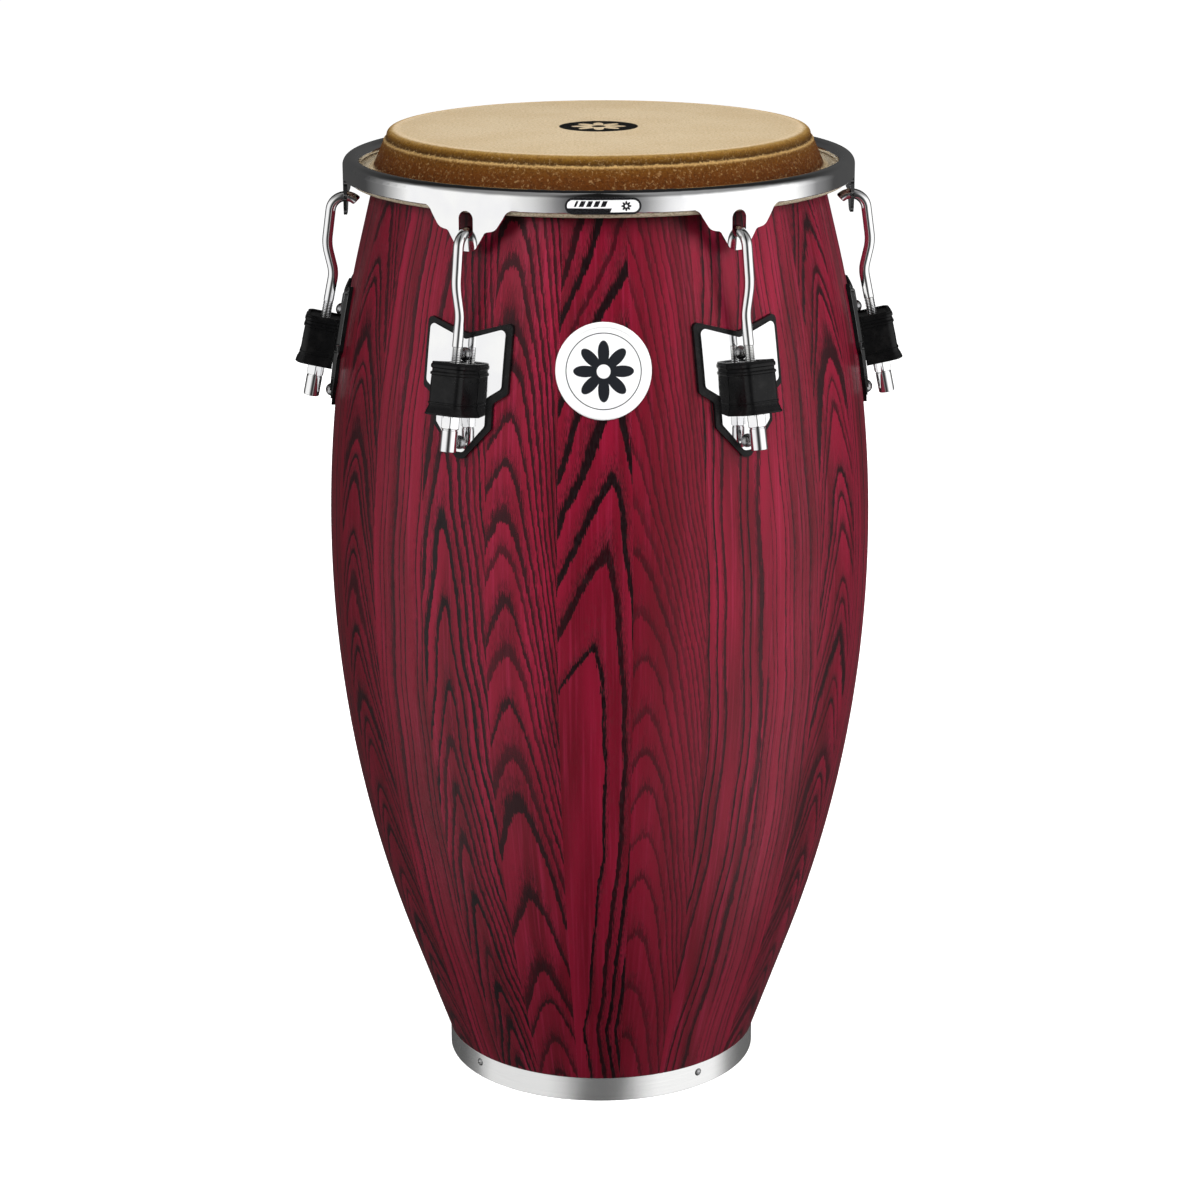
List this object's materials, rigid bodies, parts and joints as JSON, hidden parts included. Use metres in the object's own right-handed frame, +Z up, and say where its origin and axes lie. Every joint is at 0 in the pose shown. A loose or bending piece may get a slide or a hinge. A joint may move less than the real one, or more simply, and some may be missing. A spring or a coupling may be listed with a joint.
{
  "type": "conga drum",
  "caption": "Tall barrel-shaped hand drum: staved wooden shell, hide head pulled down by a steel hoop on hooked tuning rods, chrome foot ring, open at the bottom.",
  "frame": {"origin": "centre of the foot ring's lower edge, on the floor", "axes": "+Z up the drum's axis, -Y the front, where the round badge is"},
  "size_m": [0.4768, 0.428, 0.762],
  "materials": {
    "stave_ash": "crimson stain over open-grained ash, clear satin lacquer",
    "lining_wood": "bare glued hardwood",
    "chrome": "polished chrome plate",
    "zinc_steel": "zinc-plated steel",
    "hide": "natural hide, scraped, slightly waxy",
    "rubber": "moulded black rubber",
    "badge_metal": "brushed disc with a clear coat",
    "label_plate": "glossy black oval with a pale rim"
  },
  "bodies": {
    "shell": {"shell_staves": "stave_ash", "top_reinforcing_ring": "lining_wood", "base_ring": "chrome", "base_ring_screws": "zinc_steel", "badge": "badge_metal", "plate_bolts": "zinc_steel", "bolt_washers": "zinc_steel", "lock_nuts": "zinc_steel", "lug_washers": "zinc_steel", "drumhead_skin": "hide", "gasket_1": "rubber", "side_plate_1": "chrome", "backing_plate_1": "zinc_steel", "lug_bracket_1": "zinc_steel", "rubber_boot_1": "rubber", "gasket_2": "rubber", "side_plate_2": "chrome", "backing_plate_2": "zinc_steel", "lug_bracket_2": "zinc_steel", "rubber_boot_2": "rubber", "gasket_3": "rubber", "side_plate_3": "chrome", "backing_plate_3": "zinc_steel", "lug_bracket_3": "zinc_steel", "rubber_boot_3": "rubber", "gasket_4": "rubber", "side_plate_4": "chrome", "backing_plate_4": "zinc_steel", "lug_bracket_4": "zinc_steel", "rubber_boot_4": "rubber", "gasket_5": "rubber", "side_plate_5": "chrome", "backing_plate_5": "zinc_steel", "lug_bracket_5": "zinc_steel", "rubber_boot_5": "rubber", "gasket_6": "rubber", "side_plate_6": "chrome", "backing_plate_6": "zinc_steel", "lug_bracket_6": "zinc_steel", "rubber_boot_6": "rubber"},
    "hoop": {"hoop": "chrome", "flesh_hoop": "zinc_steel", "hoop_label": "label_plate"},
    "hook_1": {"tuning_hook_1": "chrome"},
    "hook_2": {"tuning_hook_2": "chrome"},
    "hook_3": {"tuning_hook_3": "chrome"},
    "hook_4": {"tuning_hook_4": "chrome"},
    "hook_5": {"tuning_hook_5": "chrome"},
    "hook_6": {"tuning_hook_6": "chrome"},
    "nut_1": {"tuning_nut_1": "chrome"},
    "nut_2": {"tuning_nut_2": "chrome"},
    "nut_3": {"tuning_nut_3": "chrome"},
    "nut_4": {"tuning_nut_4": "chrome"},
    "nut_5": {"tuning_nut_5": "chrome"},
    "nut_6": {"tuning_nut_6": "chrome"}
  },
  "joints": [
    {"name": "hoop_tune", "type": "slide", "parent": "shell", "child": "hoop", "axis": [0, 0, -1], "range_m": [-0.004, 0.008], "deforming": ["drumhead_skin"]},
    {"name": "hook_slide_1", "type": "slide", "parent": "shell", "child": "hook_1", "axis": [-0.1031, -0.1786, -0.9785], "range_m": [-0.0041, 0.00819]},
    {"name": "hook_slide_2", "type": "slide", "parent": "shell", "child": "hook_2", "axis": [0.1031, -0.1786, -0.9785], "range_m": [-0.0041, 0.00819]},
    {"name": "hook_slide_3", "type": "slide", "parent": "shell", "child": "hook_3", "axis": [0.2062, 0, -0.9785], "range_m": [-0.0041, 0.00819]},
    {"name": "hook_slide_4", "type": "slide", "parent": "shell", "child": "hook_4", "axis": [0.1031, 0.1786, -0.9785], "range_m": [-0.0041, 0.00819]},
    {"name": "hook_slide_5", "type": "slide", "parent": "shell", "child": "hook_5", "axis": [-0.1031, 0.1786, -0.9785], "range_m": [-0.0041, 0.00819]},
    {"name": "hook_slide_6", "type": "slide", "parent": "shell", "child": "hook_6", "axis": [-0.2062, 0, -0.9785], "range_m": [-0.0041, 0.00819]},
    {"name": "nut_turn_1", "type": "hinge", "parent": "shell", "child": "nut_1", "pos_m": [-0.1094, -0.18949, 0.593], "axis": [0.1031, 0.1786, 0.9785], "range_deg": [-1178.3, 2355.6]},
    {"name": "nut_turn_2", "type": "hinge", "parent": "shell", "child": "nut_2", "pos_m": [0.1094, -0.18949, 0.593], "axis": [-0.1031, 0.1786, 0.9785], "range_deg": [-1178.3, 2355.6]},
    {"name": "nut_turn_3", "type": "hinge", "parent": "shell", "child": "nut_3", "pos_m": [0.2188, 0, 0.593], "axis": [-0.2062, 0, 0.9785], "range_deg": [-1178.3, 2355.6]},
    {"name": "nut_turn_4", "type": "hinge", "parent": "shell", "child": "nut_4", "pos_m": [0.1094, 0.18949, 0.593], "axis": [-0.1031, -0.1786, 0.9785], "range_deg": [-1178.3, 2355.6]},
    {"name": "nut_turn_5", "type": "hinge", "parent": "shell", "child": "nut_5", "pos_m": [-0.1094, 0.18949, 0.593], "axis": [0.1031, -0.1786, 0.9785], "range_deg": [-1178.3, 2355.6]},
    {"name": "nut_turn_6", "type": "hinge", "parent": "shell", "child": "nut_6", "pos_m": [-0.2188, 0, 0.593], "axis": [0.2062, 0, 0.9785], "range_deg": [-1178.3, 2355.6]}
  ],
  "couplings": [
    {"joint": "hook_slide_1", "follows": "hoop_tune", "ratio": 1.022},
    {"joint": "hook_slide_2", "follows": "hoop_tune", "ratio": 1.022},
    {"joint": "hook_slide_3", "follows": "hoop_tune", "ratio": 1.022},
    {"joint": "hook_slide_4", "follows": "hoop_tune", "ratio": 1.022},
    {"joint": "hook_slide_5", "follows": "hoop_tune", "ratio": 1.022},
    {"joint": "hook_slide_6", "follows": "hoop_tune", "ratio": 1.022},
    {"joint": "nut_turn_1", "follows": "hoop_tune", "rad_per_m": 5136.9},
    {"joint": "nut_turn_2", "follows": "hoop_tune", "rad_per_m": 5136.9},
    {"joint": "nut_turn_3", "follows": "hoop_tune", "rad_per_m": 5136.9},
    {"joint": "nut_turn_4", "follows": "hoop_tune", "rad_per_m": 5136.9},
    {"joint": "nut_turn_5", "follows": "hoop_tune", "rad_per_m": 5136.9},
    {"joint": "nut_turn_6", "follows": "hoop_tune", "rad_per_m": 5136.9}
  ]
}
